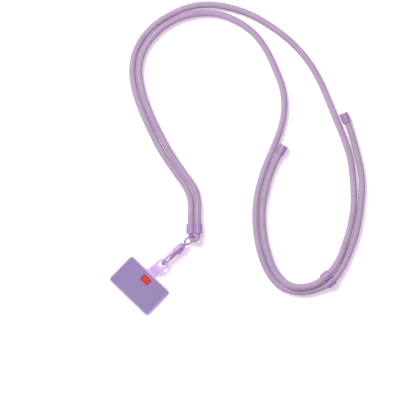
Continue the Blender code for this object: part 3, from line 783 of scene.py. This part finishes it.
def turned(name, profile, seat, side=0.0):
    """A round solid along the seat's X axis, from (x, radius) pairs; side is its place along Y."""
    rows = []
    for x, r in profile:
        angles = [math.tau * i / TURNS for i in range(TURNS)]
        rows.append([seat @ Vector((x, side + r * math.cos(a), r * math.sin(a))) for a in angles])
    return loft(name, rows)


def barrel(low, low_radius, high, high_radius, edge):
    """A barrel's (x, radius) profile with rounded edges."""
    steps = [math.pi / 2 * i / EDGE_STEPS for i in range(EDGE_STEPS + 1)]
    bevel = [(edge * (1 - math.cos(a)), edge * (1 - math.sin(a))) for a in steps]
    start = [(low + dx, low_radius - dr) for dx, dr in bevel]
    end = [(high - dx, high_radius - dr) for dx, dr in bevel]
    return start + end[::-1]


def double_barrel(name, profile, half, bore, seat):
    """Two joined barrels, each with its bore, moulded as one."""
    body = turned(name, profile, seat, half)
    combine(body, turned(name + "_second", profile, seat, -half), "UNION")
    low = 2 * profile[0][0] - profile[-1][0]
    high = 2 * profile[-1][0] - profile[0][0]
    for side in (-half, half):
        combine(body, turned(name + "_bore", [(low, bore), (high, bore)], seat, side), "DIFFERENCE")
    return soften(body, MOULD_CELL, MOULD_ROUNDS)


def stretch(route, spot, reach, step):
    """The middle and the direction of the stretch of a strand that reaches to each side of a spot."""
    parts = STRETCH_PARTS
    fine = [p.lerp(q, i / parts) for p, q in zip(route, route[1:]) for i in range(parts)]
    nearest = min(range(len(fine)), key=lambda i: (fine[i] - spot).length)
    count = round(reach / step * parts)
    first = fine[nearest - count]
    last = fine[nearest + count]
    return (first + 2 * fine[nearest] + last) / 4, (last - first).normalized()


def rounded_rectangle(long_x, long_y, radius, inset, z, seat):
    """A ring of points round a rounded rectangle, inset from its edge, as many at any inset."""
    corner = max(radius - inset, LEAST_CORNER)
    half_x = long_x / 2 - inset - corner
    half_y = long_y / 2 - inset - corner
    arc = CORNER_STEPS
    made = []
    for turn, (sx, sy) in enumerate(((1, 1), (-1, 1), (-1, -1), (1, -1))):
        for i in range(arc + 1):
            a = math.pi / 2 * (turn + i / arc)
            x = sx * half_x + corner * math.cos(a)
            made.append(Vector((x, sy * half_y + corner * math.sin(a), z)))
    full = []
    for i, point in enumerate(made):
        full.append(point)
        if i % (arc + 1) == arc:
            after = made[(i + 1) % len(made)]
            full += [point.lerp(after, k / SIDE_STEPS) for k in range(1, SIDE_STEPS)]
    return [seat @ point for point in full]


def patch_place():
    """How the patch lies: flat, and turned as it is seen from above."""
    return Matrix.Rotation(LAY, 4, "Z")


def store_paler(piece, seat, wide_x, wide_y, shade):
    """Stores how pale each point is, by its distance in from a rectangle's edge."""
    paler = piece.data.attributes.new("paler", "FLOAT", "POINT")
    back = seat.inverted()
    for value, vertex in zip(paler.data, piece.data.vertices):
        at = back @ vertex.co
        value.value = shade(min(wide_x / 2 - abs(at.x), wide_y / 2 - abs(at.y)))


def make_sheet():
    """The flat patch, from its underside's middle round its edge and rim to its top's middle."""
    size = sizes()
    top = size.patch_thick
    field = top - size.rim_high
    rim = size.rim_wide
    edge = SHEET_EDGE
    small = SHEET_EDGE / 3
    profile = [
        (SHEET_INSETS[-1], 0.0), (rim + 2 * edge, 0.0), (rim, 0.0),
        (edge, 0.0), (small, small), (0.0, edge), (0.0, top - edge), (small, top - small), (edge, top),
        (rim - 0.0005, top), (rim - 0.0003, top - 0.00003), (rim - 0.00015, field + 0.00006),
        (rim, field), (rim + 2 * edge, field),
    ] + [(inset, field) for inset in SHEET_INSETS]
    seat = patch_place()
    return loft("tether_patch_moulded", [
        rounded_rectangle(size.patch_deep, size.patch_long, size.patch_corner, inset, z, seat)
        for inset, z in profile])


def make_tab():
    """The tab, lifting from the patch's edge to the hook's height, with its eyelet and hole."""
    size = sizes()
    spot, pull = joint("hook_swivel")
    seat = axis_matrix(spot, pull)
    first = -size.hole_out - size.tab_seat
    last = -size.hole_radius / 4
    lift_end = -size.hole_radius - size.eyelet_thick
    low = size.patch_thick / 2 - spot.z
    thick = size.tab_thick / 2
    reach = 0.0002

    def height(x):
        return low * (1.0 - ease((x + size.hole_out) / (lift_end + size.hole_out)))

    strip = []
    for i in range(TAB_STEPS + 1):
        x = first + (last - first) * i / TAB_STEPS
        tilt = math.atan2(height(x + reach) - height(x - reach), 2 * reach)
        into = size.tab_root - min(max(x + size.hole_out, 0.0), size.tab_root)
        half = size.tab_wide / 2 + size.tab_root - math.sqrt(size.tab_root ** 2 - into ** 2)
        row = []
        for k in range(TAB_SIDES):
            a = math.tau * (k + 0.5) / TAB_SIDES
            across = math.copysign(half - thick, math.cos(a)) + thick * math.cos(a)
            up = thick * math.sin(a)
            row.append(seat @ Vector((x - up * math.sin(tilt), across, height(x) + up * math.cos(tilt))))
        strip.append(row)
    tab = loft("tab_strip", strip)
    upright = seat @ Matrix.Rotation(-math.pi / 2, 4, "Y")
    half = size.eyelet_thick / 2
    outside = size.tab_wide / 2 + size.eyelet_lip
    eyelet = barrel(-half, outside, half, outside, EYELET_EDGE)
    combine(tab, turned("tab_eyelet", eyelet, upright), "UNION")
    through = [(-4 * half, size.hole_radius), (4 * half, size.hole_radius)]
    combine(tab, turned("tab_hole", through, upright), "DIFFERENCE")
    return soften(tab, TAB_CELL, TAB_ROUNDS)


def make_patch():
    """The patch and its tab in one moulding, paler on the rim and the tab."""
    size = sizes()
    patch = make_sheet()
    combine(patch, make_tab(), "UNION")
    patch.data.shade_smooth()
    patch.data.set_sharp_from_angle(angle=SHEET_SHARP)

    def shade(edge):
        if edge < 0.0:
            return 1.0
        return RIM_PALE * (1.0 - ease((edge - size.rim_wide + SHEET_EDGE) / RIM_FADE))

    store_paler(patch, patch_place(), size.patch_deep, size.patch_long, shade)
    return patch


def make_label():
    """The plain label, glued on by the tab, darker towards its border."""
    size = sizes()
    low = size.patch_thick - size.rim_high + size.label_gap
    top = low + size.label_thick
    edge = LABEL_EDGE
    seat = patch_place() @ Matrix.Translation((size.label_out, 0.0, 0.0))
    profile = [
        (edge / 2, low), (0.0, low + edge / 2), (0.0, top - edge), (0.3 * edge, top - 0.3 * edge),
        (edge, top),
    ] + [(inset, top) for inset in LABEL_INSETS]
    label = loft("patch_label_moulded", [
        rounded_rectangle(size.label_deep, size.label_long, size.label_corner, inset, z, seat)
        for inset, z in profile])
    store_paler(label, seat, size.label_deep, size.label_long, lambda edge: ease(edge / LABEL_FADE))
    label.data.shade_smooth()
    label.data.set_sharp_from_angle(angle=SHARP)
    return label


class STRAP_OT_stage(bpy.types.Operator):
    """Adds the floor, the soft light and the camera"""

    bl_idname = "strap.stage"
    bl_label = "Stage"

    def execute(self, context):
        bm = bmesh.new()
        bmesh.ops.create_grid(bm, x_segments=FLOOR_CELLS, y_segments=FLOOR_CELLS, size=FLOOR_HALF)
        floor = from_bmesh("floor", bm)
        floor.data.transform(Matrix.Translation(Vector(VIEW_CENTRE)))
        floor.data.materials.append(painted_floor())

        world = bpy.data.worlds.new("studio")
        world.use_nodes = True
        world.node_tree.nodes["Background"].inputs["Color"].default_value = colour("sky")
        world.node_tree.nodes["Background"].inputs["Strength"].default_value = SKY_STRENGTH
        context.scene.world = world
        context.scene.view_settings.view_transform = "Standard"
        for name, at, wide, power, tint in LAMPS:
            lamp = bpy.data.lights.new(name, "AREA")
            lamp.shape = "DISK"
            lamp.size = wide
            lamp.energy = power
            lamp.color = colour(tint)[:3]
            light = link(name, lamp)
            light.location = Vector(VIEW_CENTRE) + Vector(at)
            light.rotation_euler = (-Vector(at)).to_track_quat("-Z", "Y").to_euler()

        lens = bpy.data.cameras.new("camera")
        lens.sensor_width = SENSOR
        lens.lens = SENSOR * CAMERA_HEIGHT * 1000 / (IMAGE_PIXELS * MM_PER_PIXEL)
        lens.clip_start = 0.01
        camera = link("camera", lens)
        camera.location = Vector(VIEW_CENTRE) + Vector((0.0, 0.0, CAMERA_HEIGHT))
        context.scene.camera = camera
        return {"FINISHED"}


class STRAP_OT_cords(bpy.types.Operator):
    """Knits the two strands of the cord"""

    bl_idname = "strap.cords"
    bl_label = "Cords"

    def execute(self, context):
        for node, points, side in STRANDS:
            dress(make_strand(node + "_knit", points, side), "strap", "knitted_cord", node)
        dress(make_fold("cord_fold_knit"), "strap", "knitted_cord", "cord_fold")
        return {"FINISHED"}


class STRAP_OT_fittings(bpy.types.Operator):
    """Moulds the collar, the slider and the two end caps"""

    bl_idname = "strap.fittings"
    bl_label = "Fittings"

    def execute(self, context):
        size = sizes()
        step = 4 * size.cord_radius
        outer = smooth_route(strand_marks(OUTER_ROUTE, -1), step)
        inner = smooth_route(strand_marks(INNER_ROUTE, 1), step)

        low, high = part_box("cord_collar")
        mouth = collar_mouth() + Vector((0.0, 0.0, (low.z + high.z) / 2))
        bore = size.cord_radius + CORD_FIT
        outside = bore + size.collar_wall
        collar = double_barrel("cord_collar_moulded", barrel(
            0.0, outside + size.flare, size.collar_long, outside, COLLAR_EDGE,
        ), size.strand_half, bore, axis_matrix(mouth, Vector((0.0, 1.0, 0.0))))
        dress(collar, "strap", "moulded_plastic", "cord_collar")

        reach = size.slider_long / 2
        spots = [collar_mouth() + Vector(spot) / 1000 for spot in (SLIDER_ON_OUTER, SLIDER_ON_INNER)]
        on_outer, outer_way = stretch(outer, spots[0], reach, step)
        on_inner, inner_way = stretch(inner, spots[1], reach, step)
        across = on_outer - on_inner
        along = inner_way - outer_way
        bore = size.cord_radius + SLIDER_FIT
        outside = bore + size.slider_wall
        slider = double_barrel("slider_moulded", barrel(-reach, outside, reach, outside, SLIDER_EDGE),
                               across.length / 2, bore,
                               axis_matrix((on_outer + on_inner) / 2, along, along.cross(across)))
        dress(slider, "strap", "moulded_plastic", "slider")

        bore = size.cord_radius + CORD_FIT
        outside = bore + size.cap_wall
        for node, route in (("end_cap_a", outer), ("end_cap_b", inner)):
            seat = axis_matrix(route[-1], route[-1] - route[-2])
            bottom = GAP + size.cap_floor
            start = bottom - size.cap_long
            cap = turned(node + "_moulded", [(GAP, bore), (start, bore)] + barrel(
                start, outside, bottom, outside + size.flare, CAP_EDGE), seat)
            cap.data.shade_smooth()
            cap.data.set_sharp_from_angle(angle=SHARP)
            dress(cap, "strap", "moulded_plastic", node)
        declare_cords()
        return {"FINISHED"}


class STRAP_OT_patch(bpy.types.Operator):
    """Moulds the thin patch with its rim, tab and eyelet, and the plain label on it"""

    bl_idname = "strap.patch"
    bl_label = "Patch"

    def execute(self, context):
        dress(make_patch(), "hook", "patch_sheet", "tether_patch")
        dress(make_label(), "hook", "label_red", "patch_label")
        return {"FINISHED"}


class STRAP_OT_metal(bpy.types.Operator):
    """Rounds and coats the snap hook, its lever and pin, and the swivel eye"""

    bl_idname = "strap.metal"
    bl_label = "Metal pieces"

    def execute(self, context):
        for node, body, cell, rounds in CASTINGS:
            piece = link(node + "_cast", named(node).data.copy())
            bm = bmesh.new()
            bm.from_mesh(piece.data)
            bmesh.ops.remove_doubles(bm, verts=bm.verts, dist=MERGE)
            bm.to_mesh(piece.data)
            bm.free()
            soften(piece, cell, rounds)
            dress(piece, body, "painted_metal", node)
        return {"FINISHED"}


class STRAP_PT_panel(bpy.types.Panel):
    """Lists the strap's pieces, sizes and colours"""

    bl_idname = "STRAP_PT_panel"
    bl_label = "Crossbody Strap"
    bl_space_type = "VIEW_3D"
    bl_region_type = "UI"
    bl_category = "Strap"

    def draw(self, context):
        for operator in OPERATORS:
            self.layout.operator(operator.bl_idname)
        for group in (context.scene.strap_sizes, context.scene.strap_colours):
            box = self.layout.box()
            for key in group.bl_rna.properties.keys()[2:]:
                box.prop(group, key)


OPERATORS = (STRAP_OT_stage, STRAP_OT_cords, STRAP_OT_fittings, STRAP_OT_metal, STRAP_OT_patch)
CLASSES = (StrapSizes, StrapColours, *OPERATORS, STRAP_PT_panel)


def register():
    """Registers the classes and the settings."""
    for made in CLASSES:
        bpy.utils.register_class(made)
    bpy.types.Scene.strap_sizes = bpy.props.PointerProperty(type=StrapSizes)
    bpy.types.Scene.strap_colours = bpy.props.PointerProperty(type=StrapColours)


def unregister():
    """Removes the settings and the classes."""
    del bpy.types.Scene.strap_colours
    del bpy.types.Scene.strap_sizes
    for made in reversed(CLASSES):
        bpy.utils.unregister_class(made)


def main():
    """Builds every piece in order."""
    register()
    bpy.ops.strap.stage()
    bpy.ops.strap.cords()
    bpy.ops.strap.fittings()
    bpy.ops.strap.metal()
    bpy.ops.strap.patch()


if __name__ == "__main__":
    main()
